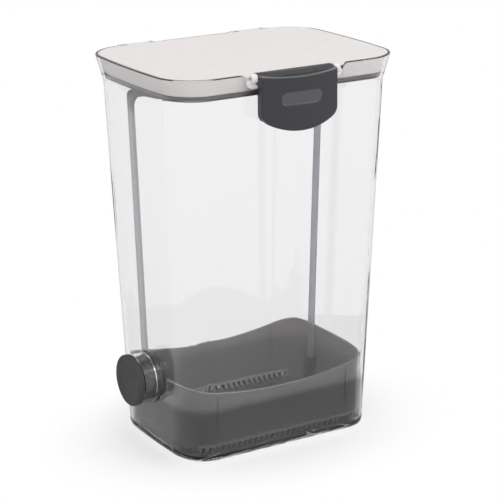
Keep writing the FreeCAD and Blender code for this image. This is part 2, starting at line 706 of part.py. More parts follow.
# The top falls a little and rolls over into the bowed front, turned about the bow's own axis.
top_edge = new_sketch(latch, "top_edge_sketch", "YZ_Plane", x=bow_centre_y)
add_path(top_edge, [
    (S.latch_fall_run - S.latch_bow, S.body_height),
    *eased((-S.latch_bow, S.body_height - S.latch_fall), (S.latch_round, 0), (0, -S.latch_round)),
    (-S.latch_bow - S.latch_wall, S.body_height - S.latch_fall - S.latch_round),
    (-S.latch_bow - S.latch_wall, S.body_height),
])
revolve(latch, "top_edge", top_edge, grows=False, axis="V_Axis")

hook_sketch = new_sketch(latch, "hook_sketch", "YZ_Plane")
hook_z = catch_z - S.hook_gap
hook_root = (bow_face(S.latch_bow, S.hook_half_width) + bow_face(inside_bow, 0)) / 2
add_path(hook_sketch, [
    (hook_tip_y, hook_z),
    (hook_root, hook_z),
    (hook_root, hook_z - S.hook_thickness),
    (hook_tip_y - S.hook_thickness / 2, hook_z - S.hook_thickness),
    (hook_tip_y, hook_z - S.hook_thickness / 2),
])
extrude(latch, "hook", hook_sketch, S.hook_half_width * 2, symmetric=True)
pin_bore = new_sketch(latch, "pin_bore_sketch", "YZ_Plane")
add_circle(pin_bore, latch_y, latch_z, S.latch_pin_radius + S.pin_play)
extrude(latch, "pin_bore", pin_bore, S.rim_width, grows=False, symmetric=True)

# The pill recess: a bowed block with half-round ends, cut from the latch. The ends' rounding stays a
# hair short of half the height, so that a flat is left between the two.
pill_cutter = new_body("pill_cutter")
pill_sketch = new_sketch(pill_cutter, "pill_sketch", "XY_Plane", z=S.body_height - S.pill_drop)
pill_deep, pill_out = S.latch_bow - S.pill_depth, S.latch_bow + S.latch_wall
add_path(pill_sketch, [
    (-S.pill_half_length, bow_face(pill_deep, S.pill_half_length), -pill_deep),
    (-S.pill_half_length, bow_face(pill_out, S.pill_half_length)),
    (S.pill_half_length, bow_face(pill_out, S.pill_half_length), pill_out),
    (S.pill_half_length, bow_face(pill_deep, S.pill_half_length)),
])
extrude(pill_cutter, "pill", pill_sketch, S.pill_height)
round_edges(pill_cutter, "pill_ends", S.pill_height * 0.49, lambda box: (
    box.XLength < box.YLength and box.ZLength < 0.01))
recess = latch.newObject("PartDesign::Boolean", "pill_recess")
recess.Type = "Cut"
recess.setObjects([pill_cutter])
doc.recompute()

# Pins: three plain steel pins.
latch_pin = new_body("latch_pin")
pin_sketch = new_sketch(latch_pin, "latch_pin_sketch", "YZ_Plane")
add_circle(pin_sketch, latch_y, latch_z, S.latch_pin_radius)
extrude(latch_pin, "latch_pin_rod", pin_sketch, (S.latch_ear_end - S.pin_end_gap) * 2, symmetric=True)
hinge_pins = []
for side, sign in sides:
    pin = new_body("hinge_pin_" + side)
    pin_sketch = new_sketch(pin, "hinge_pin_sketch_" + side, "YZ_Plane", z=S.hinge_spread * sign)
    add_circle(pin_sketch, hinge_y, hinge_z, S.hinge_pin_radius)
    pin_length = S.knuckle_width + (S.ear_gap + S.ear_thickness - S.pin_end_gap) * 2
    extrude(pin, "hinge_pin_rod_" + side, pin_sketch, pin_length, symmetric=True)
    hinge_pins.append(pin)

# Basket: smoky tub with a saddle-shaped rim, drain slots and a cut-out round the stopper.
basket = new_body("basket")
tub_floor = S.basket_bottom + S.basket_floor
loft(basket, "tub", rounded_foot(S.basket_bottom, basket_inset, S.basket_round) + [
    (S.basket_top, basket_inset(S.basket_top)),
])
loft(basket, "tub_inside", rounded_foot(
    tub_floor, lambda height: basket_inset(height) + S.basket_wall, S.basket_round - S.basket_wall, steps=2,
) + [
    (S.basket_top, basket_inset(S.basket_top) + S.basket_wall),
], grows=False)

# A rib on each long side near each corner, and a foot under each corner.
for side, sign in sides:
    for place, way in (("front", -1), ("back", 1)):
        name = "%s_%s" % (place, side)
        low = half_width - basket_inset(S.rib_bottom)
        high = half_width - basket_inset(S.rib_top)
        sunk = S.basket_wall / 2
        slant = sunk + S.rib_rise
        rib = new_sketch(basket, "rib_sketch_" + name, "YZ_Plane", z=(half_length - S.rib_in) * sign)
        add_path(rib, [
            ((low - sunk) * way, S.rib_bottom),
            ((low + S.rib_rise) * way, S.rib_bottom + slant),
            ((high + S.rib_rise) * way, S.rib_top - slant),
            ((high - sunk) * way, S.rib_top),
        ])
        extrude(basket, "rib_" + name, rib, S.rib_width, symmetric=True)
        foot = new_sketch(basket, "foot_sketch_" + name, "XY_Plane", z=S.floor_thickness)
        add_circle(foot, (half_length - S.basket_foot_end_in) * sign,
                   (half_width - S.basket_foot_side_in) * way, S.basket_foot_radius)
        extrude(basket, "foot_" + name, foot, tub_floor - S.basket_floor / 2 - S.floor_thickness)

# A socket inside each end wall holds one foot of the handle, below the plug and beside it.
handle_y = plug_radius + S.seal_rise + S.handle_clear + S.handle_width / 2
handle_foot_z = tub_floor + S.handle_foot_rise
handle_top_z = liner_z - S.handle_top_gap
handle_foot_x = half_length - basket_inset(handle_foot_z) - S.basket_wall - S.handle_foot_in
handle_top_x = half_length - S.flare - S.wall - S.handle_top_in
arm_lean = (handle_top_x - handle_foot_x) / (handle_top_z - handle_foot_z)


def arm_x(height):
    """Distance of an arm's middle line from the middle."""
    return handle_foot_x + arm_lean * (height - handle_foot_z)


def end_wall_x(height):
    """Distance of the middle of the basket's end wall from the middle."""
    return half_length - basket_inset(height) - S.basket_wall / 2


half_arm = S.handle_thickness / 2
socket_top = tub_floor + S.socket_height
socket_width = S.handle_width + (S.socket_gap + S.socket_wall) * 2
for side, sign in sides:
    block = new_sketch(basket, "socket_sketch_" + side, "XZ_Plane", z=-handle_y)
    reach = half_arm + S.socket_gap + S.socket_wall
    block_z = tub_floor - S.basket_floor / 2
    add_path(block, [
        ((arm_x(tub_floor) - reach) * sign, block_z),
        ((end_wall_x(tub_floor) - S.basket_round) * sign, block_z),
        (end_wall_x(tub_floor + S.basket_round) * sign, tub_floor + S.basket_round),
        (end_wall_x(socket_top) * sign, socket_top),
        ((arm_x(socket_top) - reach) * sign, socket_top),
    ])
    extrude(basket, "socket_" + side, block, socket_width, symmetric=True)
    hole = new_sketch(basket, "socket_hole_sketch_" + side, "XZ_Plane", z=-handle_y)
    gap = half_arm + S.socket_gap
    add_path(hole, [
        ((arm_x(handle_foot_z) - gap) * sign, handle_foot_z),
        ((arm_x(handle_foot_z) + gap) * sign, handle_foot_z),
        ((arm_x(socket_top) + gap) * sign, socket_top),
        ((arm_x(socket_top) - gap) * sign, socket_top),
    ])
    hole_width = S.handle_width + S.socket_gap * 2
    extrude(basket, "socket_hole_" + side, hole, hole_width, grows=False, symmetric=True)

# The rim dips in one arc from end to end, and drops round the plug at the stopper's end.
above = S.basket_top + S.saddle_dip
saddle_reach = half_length - basket_inset(S.basket_top) - S.basket_wall
saddle_radius = (saddle_reach * saddle_reach + S.saddle_dip * S.saddle_dip) / (S.saddle_dip * 2)
saddle = new_sketch(basket, "saddle_sketch", "XZ_Plane")
add_path(saddle, [
    (-saddle_reach, S.basket_top),
    (saddle_reach, S.basket_top, saddle_radius),
    (saddle_reach, above),
    (-saddle_reach, above),
])
extrude(basket, "saddle_cut", saddle, S.rim_width, grows=False, symmetric=True)
port_radius = plug_radius + S.seal_rise + S.port_gap
port = new_sketch(basket, "port_sketch", "YZ_Plane", z=basket_inset(S.spout_height) - half_length)
add_path(port, [
    (-port_radius, S.spout_height),
    (0, S.spout_height - port_radius, port_radius),
    (port_radius, S.spout_height, port_radius),
    (port_radius, above),
    (-port_radius, above),
])
extrude(basket, "port_cut", port, S.basket_wall * 6, grows=False, symmetric=True)

# A row of drain slots through the foot of both long walls, as many as fit.
slot_count = 1 + int((S.rim_length - S.slot_in * 2).value / S.slot_pitch.value)
slot_span = S.slot_pitch * (slot_count - 1)
slot_z = S.basket_bottom + S.slot_rise
slot_sketch = new_sketch(basket, "slot_sketch", "XZ_Plane")
add_box(slot_sketch, -(slot_span + S.slot_width) / 2, slot_z,
        (S.slot_width - slot_span) / 2, slot_z + S.slot_height)
slot = extrude(basket, "slot_cut", slot_sketch, S.rim_width, grows=False, symmetric=True)
slots = basket.newObject("PartDesign::LinearPattern", "slot_row")
slots.Originals = [slot]
slots.Direction = (slot_sketch, ["H_Axis"])
bind(slots, "Length", slot_span)
slots.Occurrences = slot_count
before = volume(basket)
basket.Tip = slots
finish_feature(basket, slots, before, grows=False)

# Handle: one tall arch whose feet drop into the basket's sockets.
basket_handle = new_body("basket_handle")
handle_sketch = new_sketch(basket_handle, "handle_sketch", "XZ_Plane", z=-handle_y)
bend_z = handle_top_z - S.handle_corner
inner_top_z = handle_top_z - S.handle_bar
inner_bend_z = inner_top_z - S.handle_inner_corner
top_x = arm_x(bend_z) + half_arm
inner_x = arm_x(inner_bend_z) - half_arm
add_path(handle_sketch, [
    (-handle_foot_x - half_arm, handle_foot_z),
    (-handle_foot_x + half_arm, handle_foot_z),
    (-inner_x, inner_bend_z),
    (-inner_x + S.handle_inner_corner, inner_top_z, -S.handle_inner_corner),
    (inner_x - S.handle_inner_corner, inner_top_z),
    (inner_x, inner_bend_z, -S.handle_inner_corner),
    (handle_foot_x - half_arm, handle_foot_z),
    (handle_foot_x + half_arm, handle_foot_z),
    (top_x, bend_z),
    (top_x - S.handle_corner, handle_top_z, S.handle_corner),
    (-top_x + S.handle_corner, handle_top_z),
    (-top_x, bend_z, S.handle_corner),
])
extrude(basket_handle, "arch", handle_sketch, S.handle_width, symmetric=True)

# Stopper: silicone disc with a dished face, and a hollow plug with two sealing ribs.
spout_stopper = new_body("spout_stopper")
disc_radius = S.neck_radius + S.stopper_overhang
disc_back = neck_face + S.stopper_gap
disc_face = disc_back + S.stopper_thickness
plug_end = disc_back - S.plug_length
core_end = disc_face - S.plug_web
core_radius = plug_radius - S.plug_wall
dish_face = disc_face - S.stopper_dish
profile = [
    (-dish_face, 0),
    (-core_end, 0),
    (-core_end, core_radius),
    (-plug_end, core_radius),
    (-plug_end, plug_radius),
]
for number in (1, 2):
    seal_x = plug_end + S.seal_pitch * number
    profile += [
        (-seal_x, plug_radius),
        (-seal_x - S.seal_width / 2, plug_radius + S.seal_rise),
        (-seal_x - S.seal_width, plug_radius),
    ]
profile += [
    (-disc_back, plug_radius),
    (-disc_back, disc_radius - S.stopper_round),
    (-disc_back - S.stopper_round, disc_radius),
    *eased((-disc_face, disc_radius), (S.stopper_round, 0), (0, -S.stopper_round)),
    (-dish_face, disc_radius - S.stopper_round - S.dish_slope),
]
stopper_sketch = new_sketch(spout_stopper, "stopper_sketch", "XZ_Plane", y=S.spout_height)
add_path(stopper_sketch, profile)
revolve(spout_stopper, "disc_and_plug", stopper_sketch)

nodes = {
    "container": container,
    "lid_cover": lid_cover,
    "lid_liner": lid_liner,
    "lid_gasket": lid_gasket,
    "latch": latch,
    "latch_pin": latch_pin,
    "hinge_pin_left": hinge_pins[0],
    "hinge_pin_right": hinge_pins[1],
    "basket": basket,
    "basket_handle": basket_handle,
    "spout_stopper": spout_stopper,
}
doc.recompute()
for item in doc.Objects:
    if "Invalid" in item.State or "Error" in item.State:
        raise RuntimeError("%s did not compute" % item.Name)
os.makedirs("parts", exist_ok=True)
for name, body in nodes.items():
    shape = body.Shape
    if shape.isNull() or not shape.isValid() or len(shape.Solids) != 1:
        raise RuntimeError("%s is not one valid solid" % name)
    shape.exportStep("parts/%s.step" % name)
    print("%-16s %10.1f mm3 %s" % (name, shape.Volume, shape.BoundBox))
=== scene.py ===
import math

import bpy
from mathutils import Matrix, Vector


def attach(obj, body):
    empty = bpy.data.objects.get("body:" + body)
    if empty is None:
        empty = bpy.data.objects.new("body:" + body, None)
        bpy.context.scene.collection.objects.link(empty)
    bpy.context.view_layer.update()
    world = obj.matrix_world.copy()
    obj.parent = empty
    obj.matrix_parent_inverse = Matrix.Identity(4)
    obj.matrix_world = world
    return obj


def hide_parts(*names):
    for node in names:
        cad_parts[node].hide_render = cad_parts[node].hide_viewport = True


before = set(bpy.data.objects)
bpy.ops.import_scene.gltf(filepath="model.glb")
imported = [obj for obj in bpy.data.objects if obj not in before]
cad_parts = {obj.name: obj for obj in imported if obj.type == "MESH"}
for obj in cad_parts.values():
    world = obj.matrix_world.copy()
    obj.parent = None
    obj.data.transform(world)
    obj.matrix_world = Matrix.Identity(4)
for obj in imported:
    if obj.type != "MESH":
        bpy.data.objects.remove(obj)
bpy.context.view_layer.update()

# Herb keeper: a tall clear keeper with a latched lid, a lift-out basket and a stopper in its side.
# Metres, +Z up, latch towards -Y, hinges towards +Y, stopper towards -X.

# ---------------------------------------------------------------------------------------------
# Camera. A long lens a metre away, a little above the lid, turned towards the latch and the
# stopper, with a trace of tilt.
camera_turn = math.radians(-30.9045)
camera_rise = math.radians(17.2172)
camera_tilt = -0.0091
camera_distance = 1.14209
keeper_middle = Vector((0, 0, 0.12))
camera_data = bpy.data.cameras.new("camera")
camera = bpy.data.objects.new("camera", camera_data)
bpy.context.scene.collection.objects.link(camera)
bpy.context.scene.camera = camera
camera_data.lens = 132.66
camera_data.sensor_width = 36
camera_data.shift_x = 0.01148
camera_data.shift_y = -0.01441
camera_data.clip_end = 30
backwards = Vector((
    math.sin(camera_turn) * math.cos(camera_rise),
    -math.cos(camera_turn) * math.cos(camera_rise),
    math.sin(camera_rise),
))
sideways = Vector((math.cos(camera_turn), math.sin(camera_turn), 0))
upwards = backwards.cross(sideways)
axes = Matrix((sideways, upwards, backwards)).transposed() @ Matrix.Rotation(camera_tilt, 3, "Z")
camera.matrix_world = (
    Matrix.Translation(keeper_middle + backwards * camera_distance) @ axes.to_4x4())

# ---------------------------------------------------------------------------------------------
# Studio. A white floor that runs out of sight, an even white room, a little dimmer overhead, and
# three soft lamps, the largest over the left shoulder. Glosses mirror a dimmer room and floor,
# except for the strip of floor right beside the foot, which its edges show in full.


def new_finish(name):
    """A node material: returns it with its nodes, links and main shader."""
    material = bpy.data.materials.new(name)
    material.use_nodes = True
    nodes, links = material.node_tree.nodes, material.node_tree.links
    return material, nodes, links, nodes["Principled BSDF"]


def combined(nodes, links, kind, first, second=0):
    """One Math node: its operation, and each input a socket or a number."""
    node = nodes.new("ShaderNodeMath")
    node.operation = kind
    for slot, value in enumerate((first, second)):
        if isinstance(value, (int, float)):
            node.inputs[slot].default_value = value
        else:
            links.new(value, node.inputs[slot])
    return node.outputs[0]


def ramp(nodes, links, value, start, end, low, high, smooth=True):
    """low up to start, high from end on, and a soft change between."""
    node = nodes.new("ShaderNodeMapRange")
    node.interpolation_type = "SMOOTHSTEP" if smooth else "LINEAR"
    for name, number in (("From Min", start), ("From Max", end), ("To Min", low), ("To Max", high)):
        node.inputs[name].default_value = number
    links.new(value, node.inputs["Value"])
    return node.outputs["Result"]


def light_seen_directly(nodes, links):
    """1 for camera, mirror and see-through rays, 0 for the rays that light the object."""
    path = nodes.new("ShaderNodeLightPath").outputs
    total = combined(nodes, links, "MAXIMUM", path["Is Camera Ray"], path["Is Glossy Ray"])
    return combined(nodes, links, "MAXIMUM", total, path["Is Transmission Ray"])


def only_mirrored(nodes, links):
    """1 for rays that come off a gloss, 0 for the rays that pass through a clear piece."""
    path = nodes.new("ShaderNodeLightPath").outputs
    return combined(nodes, links, "SUBTRACT", path["Is Glossy Ray"], path["Is Transmission Ray"])


room_strength = 0.56
room_in_gloss, floor_in_gloss = 0.6, 0.45
ceiling_start, ceiling_full, ceiling_share = 0.32, 0.85, 0.45
bpy.context.scene.view_settings.view_transform = "Standard"
world = bpy.data.worlds.new("studio")
bpy.context.scene.world = world
world.use_nodes = True
sky, sky_links = world.node_tree.nodes, world.node_tree.links
room_light = sky["Background"]
room_light.inputs["Color"].default_value = (1, 1, 1, 1)
room_light.inputs["Strength"].default_value = room_strength
white_wall = sky.new("ShaderNodeBackground")
white_wall.inputs["Color"].default_value = (1, 1, 1, 1)
direction = sky.new("ShaderNodeSeparateXYZ")
sky_links.new(sky.new("ShaderNodeTexCoord").outputs["Generated"], direction.inputs[0])
overhead = ramp(
    sky, sky_links, direction.outputs["Z"], ceiling_start, ceiling_full, 1.0, ceiling_share)
dimmed = ramp(
    sky, sky_links, only_mirrored(sky, sky_links), 0, 1, 1.0, room_in_gloss, smooth=False)
room_seen = combined(sky, sky_links, "MULTIPLY", overhead, dimmed)
backdrop_seen = sky.new("ShaderNodeLightPath").outputs["Is Camera Ray"]
sky_links.new(
    combined(sky, sky_links, "MAXIMUM", room_seen, backdrop_seen), white_wall.inputs["Strength"])
chosen = sky.new("ShaderNodeMixShader")
sky_links.new(light_seen_directly(sky, sky_links), chosen.inputs[0])
sky_links.new(room_light.outputs[0], chosen.inputs[1])
sky_links.new(white_wall.outputs[0], chosen.inputs[2])
sky_links.new(chosen.outputs[0], sky["World Output"].inputs["Surface"])

floor_size, floor_drop = 12, 0.0004
shadow_start, shadow_end, shadow_glow = 0.055, 0.115, 0.55
beside_foot, clear_of_foot = 0.006, 0.014
floor_finish, nodes, links, shader = new_finish("studio_floor")
shader.inputs["Base Color"].default_value = (0.93, 0.925, 0.915, 1)
shader.inputs["Roughness"].default_value = 0.9
shader.inputs["Specular IOR Level"].default_value = 0.2
floor_glow = nodes.new("ShaderNodeEmission")
away = nodes.new("ShaderNodeVectorMath")
away.operation = "LENGTH"
shadow_shape = nodes.new("ShaderNodeMapping")
shadow_shape.inputs["Scale"].default_value = (0.8, 1.05, 0)
links.new(nodes.new("ShaderNodeTexCoord").outputs["Object"], shadow_shape.inputs["Vector"])
links.new(shadow_shape.outputs["Vector"], away.inputs[0])
glow_share = ramp(nodes, links, away.outputs["Value"], shadow_start, shadow_end, shadow_glow, 1.0)
floor_mix = nodes.new("ShaderNodeMixShader")
direct_share = combined(nodes, links, "MULTIPLY", glow_share, light_seen_directly(nodes, links))
through_plastic = nodes.new("ShaderNodeLightPath").outputs["Is Transmission Ray"]
mirrored = only_mirrored(nodes, links)
ray_length = nodes.new("ShaderNodeLightPath").outputs["Ray Length"]
close_by = ramp(nodes, links, ray_length, beside_foot, clear_of_foot, 1.0, 0.0)
in_foot_edge = combined(nodes, links, "MULTIPLY", mirrored, close_by)
seen_share = combined(nodes, links, "MAXIMUM", direct_share, through_plastic)
links.new(combined(nodes, links, "MAXIMUM", seen_share, in_foot_edge), floor_mix.inputs[0])
in_gloss = ramp(nodes, links, mirrored, 0, 1, 1.0, floor_in_gloss, smooth=False)
links.new(combined(nodes, links, "MAXIMUM", in_gloss, in_foot_edge), floor_glow.inputs["Strength"])
links.new(shader.outputs[0], floor_mix.inputs[1])
links.new(floor_glow.outputs[0], floor_mix.inputs[2])
links.new(floor_mix.outputs[0], nodes["Material Output"].inputs["Surface"])
bpy.ops.mesh.primitive_plane_add(size=floor_size, location=(0, 0, -floor_drop))
floor = bpy.context.object
floor.name = "studio_floor"
floor.data.materials.append(floor_finish)

for name, place, size, power in (
    ("key_lamp", (-0.9, -1.5, 1.9), 1.6, 17.0),
    ("fill_lamp", (1.5, -1.2, 1.1), 1.4, 12.0),
    ("top_lamp", (0.1, 0.5, 2.2), 1.6, 9.0),
):
    lamp_data = bpy.data.lights.new(name, "AREA")
    lamp_data.size = size
    lamp_data.energy = power
    lamp = bpy.data.objects.new(name, lamp_data)
    bpy.context.scene.collection.objects.link(lamp)
    lamp.location = place
    lamp.rotation_euler = (keeper_middle - Vector(place)).to_track_quat("-Z", "Y").to_euler()

# ---------------------------------------------------------------------------------------------
# Container: one thick clear moulding that carries all the rest, with its neck, catch bar and hinge
# ears. Its walls have the faint lilac of clear styrene copolymer, and its upright corners grow
# rounder towards the foot. Its foot and lowest walls carry painted shade, a grey that stands in for
# the basket and its shade seen through them.


def object_place(nodes):
    return nodes.new("ShaderNodeTexCoord").outputs["Object"]


def object_axes(nodes, links):
    """The place on the piece, as its X, Y and Z."""
    split = nodes.new("ShaderNodeSeparateXYZ")
    links.new(object_place(nodes), split.inputs[0])
    return split.outputs


def object_grain(nodes, links, scale, detail=4.0, stretch=(1, 1, 1)):
    """Noise that is fixed to the piece, stretched along its axes."""
    mapping = nodes.new("ShaderNodeMapping")
    mapping.inputs["Scale"].default_value = stretch
    noise = nodes.new("ShaderNodeTexNoise")
    noise.inputs["Scale"].default_value = scale
    noise.inputs["Detail"].default_value = detail
    links.new(object_place(nodes), mapping.inputs["Vector"])
    links.new(mapping.outputs["Vector"], noise.inputs["Vector"])
    return noise.outputs["Fac"]


def vary(nodes, links, fac, low, high):
    """Spread a noise value between two numbers."""
    return ramp(nodes, links, fac, 0.3, 0.7, low, high, smooth=False)


def uneven_gloss(nodes, links, shader, fac, low, high):
    """Roughness that wanders between two values over the surface."""
    links.new(vary(nodes, links, fac, low, high), shader.inputs["Roughness"])


def colour_between(nodes, links, share, first, second):
    """The first colour where share is 0 and the second where it is 1."""
    blend = nodes.new("ShaderNodeMix")
    blend.data_type = "RGBA"
    for slot, value in ((6, first), (7, second)):
        if isinstance(value, tuple):
            blend.inputs[slot].default_value = (*value, 1)
        else:
            links.new(value, blend.inputs[slot])
    links.new(share, blend.inputs[0])
    return blend.outputs[2]


def raise_bumps(nodes, links, shader, fac, height, edge=0.0):
    """Fine relief of the surface, over softly rounded edges where edge is their radius."""
    bump = nodes.new("ShaderNodeBump")
    bump.inputs["Distance"].default_value = height
    links.new(fac, bump.inputs["Height"])
    if edge:
        rounded = nodes.new("ShaderNodeBevel")
        rounded.samples = 6
        rounded.inputs["Radius"].default_value = edge
        links.new(rounded.outputs["Normal"], bump.inputs["Normal"])
    links.new(bump.outputs["Normal"], shader.inputs["Normal"])


def let_lamps_through(nodes, links, shader, tint):
    """Lamp light passes the piece, dimmed by the tint, as it does through real clear plastic."""
    film = nodes.new("ShaderNodeBsdfTransparent")
    film.inputs["Color"].default_value = (*tint, 1)
    either = nodes.new("ShaderNodeMixShader")
    links.new(nodes.new("ShaderNodeLightPath").outputs["Is Shadow Ray"], either.inputs[0])
    links.new(shader.outputs[0], either.inputs[1])
    links.new(film.outputs[0], either.inputs[2])
    links.new(either.outputs[0], nodes["Material Output"].inputs["Surface"])


def tint_inside(nodes, links, colour, density):
    """Light is tinted by the length of its way through the piece."""
    haze = nodes.new("ShaderNodeVolumeAbsorption")
    haze.inputs["Color"].default_value = (*colour, 1)
    haze.inputs["Density"].default_value = density
    links.new(haze.outputs[0], nodes["Material Output"].inputs["Volume"])


def nothing_selected():
    if bpy.context.object and bpy.context.object.mode != "OBJECT":
        bpy.ops.object.mode_set(mode="OBJECT")
    bpy.ops.object.select_all(action="DESELECT")


def take(piece):
    """Select one piece alone."""
    nothing_selected()
    piece.select_set(True)
    bpy.context.view_layer.objects.active = piece


def pick(piece, kind, wanted):
    """In edit mode, select only the vertices, edges or faces that the test wants."""
    bpy.ops.mesh.select_mode(type=kind)
    bpy.ops.mesh.select_all(action="DESELECT")
    bpy.ops.object.mode_set(mode="OBJECT")
    mesh = piece.data
    if kind == "VERT":
        for vertex in mesh.vertices:
            vertex.select = wanted(vertex.co)
    elif kind == "EDGE":
        for edge in mesh.edges:
            edge.select = all(wanted(mesh.vertices[corner].co) for corner in edge.vertices)
    else:
        for face in mesh.polygons:
            face.select = wanted(face.center)
    bpy.ops.object.mode_set(mode="EDIT")


def apply_modifier(piece, name, kind, **settings):
    """Add a modifier with its settings and apply it."""
    take(piece)
    change = piece.modifiers.new(name, kind)
    for key, value in settings.items():
        setattr(change, key, value)
    bpy.ops.object.modifier_apply(modifier=change.name)


def smoothed(piece, angle):
    """Smooth shading, with corners sharper than the angle left sharp."""
    take(piece)
    bpy.ops.object.shade_smooth_by_angle(angle=math.radians(angle), keep_sharp_edges=False)


loose_gap = 1e-6
moulded_corner = 28


def moulded_copy(name, node):
    """A copy of a CAD node's mesh with its loose triangles joined."""
    nothing_selected()
    piece = bpy.data.objects.new(name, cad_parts[node].data.copy())
    bpy.context.scene.collection.objects.link(piece)
    piece.data.materials.clear()
    apply_modifier(piece, "join", "WELD", merge_threshold=loose_gap)
    bpy.ops.mesh.customdata_custom_splitnormals_clear()
    return piece


def soft_step(value, start, end):
    """0 up to start, 1 from end on, and a soft change between."""
    share = min(max((value - start) / (end - start), 0), 1)
    return share * share * (3 - 2 * share)


def bent_by(name, steps, low, high, blend, bend):
    """A lattice over a box, with each of its points moved by a rule."""
    data = bpy.data.lattices.new(name)
    data.points_u, data.points_v, data.points_w = steps
    data.interpolation_type_u = data.interpolation_type_v = data.interpolation_type_w = blend
    lattice = bpy.data.objects.new(name, data)
    bpy.context.scene.collection.objects.link(lattice)
    span = data.points[-1].co - data.points[0].co
    lattice.location = (Vector(high) + Vector(low)) / 2
    lattice.scale = [(high[axis] - low[axis]) / span[axis] for axis in range(3)]
    for point in data.points:
        at = Vector([point.co[axis] * lattice.scale[axis] for axis in range(3)]) + lattice.location
        moved = Vector(bend(*at)) - lattice.location
        point.co_deform = [moved[axis] / lattice.scale[axis] for axis in range(3)]
    bpy.context.view_layer.update()
    return lattice


keeper_top = 0.240
foot_half_length, foot_half_width = 0.06755, 0.04665
foot_corner, foot_corner_cad = 0.0216, 0.01295
foot_round, foot_round_cad = 0.00535, 0.008
foot_wider, wider_start, wider_full = 0.0012, 0.02, 0.04
flare_start = 0.224
wall_lean = 0.00815 / flare_start


def rounder_corner(x, y, z):
    """Where a point goes when the walls' upright corners grow rounder towards the foot."""
    share = min(max(1 - z / flare_start, 0), 1)
    grown = wall_lean * min(max(z, 0), flare_start)
    old = foot_corner_cad + grown
    new = old + (foot_corner - foot_corner_cad) * share
    past_x = abs(x) - (foot_half_length + grown - new)
    past_y = abs(y) - (foot_half_width + grown - new)
    if share > 0 and past_x > 0 and past_y > 0:
        far = math.hypot(past_x, past_y)
        across, along = past_x / far, past_y / far
        step = new - old
        if new * along <= step * across:
            reach = new / across
        elif new * across <= step * along:
            reach = new / along
        else:
            both = step * (across + along)
            reach = both + math.sqrt(both ** 2 - 2 * step ** 2 + old ** 2)
        shrink = new / reach - 1
        x += math.copysign(past_x, x) * shrink
        y += math.copysign(past_y, y) * shrink
    y += math.copysign(foot_wider * share * soft_step(abs(y), wider_start, wider_full), y)
    return x, y, z


def tighter_foot(x, y, z):
    """Where a point goes when the rounding under the walls becomes smaller."""
    run = [radius - math.sqrt(max(radius ** 2 - max(radius - z, 0) ** 2, 0))
           for radius in (foot_round_cad, foot_round)]
    out = run[0] - run[1]
    return x * (1 + out / foot_half_length), y * (1 + out / foot_half_width), z


bend_reach_x, bend_reach_y = 0.084, 0.064
foot_bend_top = 0.010
corner_lattice = bent_by(
    "corner_lattice", (43, 33, 13), (-bend_reach_x, -bend_reach_y, 0),
    (bend_reach_x, bend_reach_y, keeper_top), "KEY_CATMULL_ROM", rounder_corner)
foot_lattice = bent_by(
    "foot_lattice", (2, 2, 21), (-bend_reach_x, -bend_reach_y, 0),
    (bend_reach_x, bend_reach_y, foot_bend_top), "KEY_LINEAR", tighter_foot)
corner_cuts, corner_cut_gap = range(-1, 9), 0.0024
level_cuts = (0.0105, flare_start - 0.0025)
cut_top = flare_start - 0.002


def rounder_foot(piece):
    """Bend a piece to the container's rounder foot, with cuts for its corners to bend at."""
    take(piece)
    bpy.ops.object.mode_set(mode="EDIT")
    for axis, half in ((0, foot_half_length), (1, foot_half_width)):
        for side in (1, -1):
            for cut in corner_cuts:
                spot, lean = [0, 0, 0], [0, 0, -wall_lean]
                spot[axis] = side * (half - foot_corner + cut * corner_cut_gap)
                lean[axis] = side
                pick(piece, "FACE", lambda at: at.z < cut_top)
                bpy.ops.mesh.bisect(plane_co=spot, plane_no=lean, threshold=loose_gap)
    for level in level_cuts:
        pick(piece, "FACE", lambda at: at.z < cut_top)
        bpy.ops.mesh.bisect(plane_co=(0, 0, level), plane_no=(0, 0, 1), threshold=loose_gap)
    bpy.ops.mesh.select_all(action="SELECT")
    bpy.ops.mesh.quads_convert_to_tris()
    apply_modifier(piece, "corners", "LATTICE", object=corner_lattice)
    apply_modifier(piece, "foot", "LATTICE", object=foot_lattice)
    apply_modifier(piece, "join", "WELD", merge_threshold=2 * loose_gap)
    smoothed(piece, moulded_corner)


def stand_in(piece, body, node, finish):
    """Hand a modelled piece over in the place of a CAD node."""
    piece.data.materials.append(finish)
    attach(piece, body)
    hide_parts(node)


# Painted shade: the lowest part of the walls is painted grey, standing in for the tub and its shade
# seen through them. Painted highlights: the foot's edge and the swirls in the foot below the floor
# are made metallic, so that they mirror the room as bright glints.
clear_low, clear_high = (0.945, 0.943, 0.948), (0.958, 0.957, 0.96)
painted_shade_grey = (0.42, 0.415, 0.42)
swirl_middle = 0.56
clear_plastic, nodes, links, shader = new_finish("clear_plastic")
height = object_axes(nodes, links)["Z"]
# Painted shade: grey in the foot and in the walls beside the tub, for the tub and its shade seen
# through.
above_edge = ramp(nodes, links, height, 0.0030, 0.0042, 0.0, 1.0)
in_foot = ramp(nodes, links, height, 0.0055, 0.0070, 0.3, 0.0)
beside_tub = ramp(nodes, links, height, 0.032, 0.037, 0.72, 0.0)
painted_shade_share = combined(
    nodes, links, "MULTIPLY", above_edge, combined(nodes, links, "ADD", in_foot, beside_tub))
higher = ramp(nodes, links, height, 0.05, 0.2, 0.0, 1.0, smooth=False)
clear_tone = colour_between(nodes, links, higher, clear_low, clear_high)
links.new(
    colour_between(nodes, links, painted_shade_share, clear_tone, painted_shade_grey),
    shader.inputs["Base Color"])
shader.inputs["Transmission Weight"].default_value = 1.0
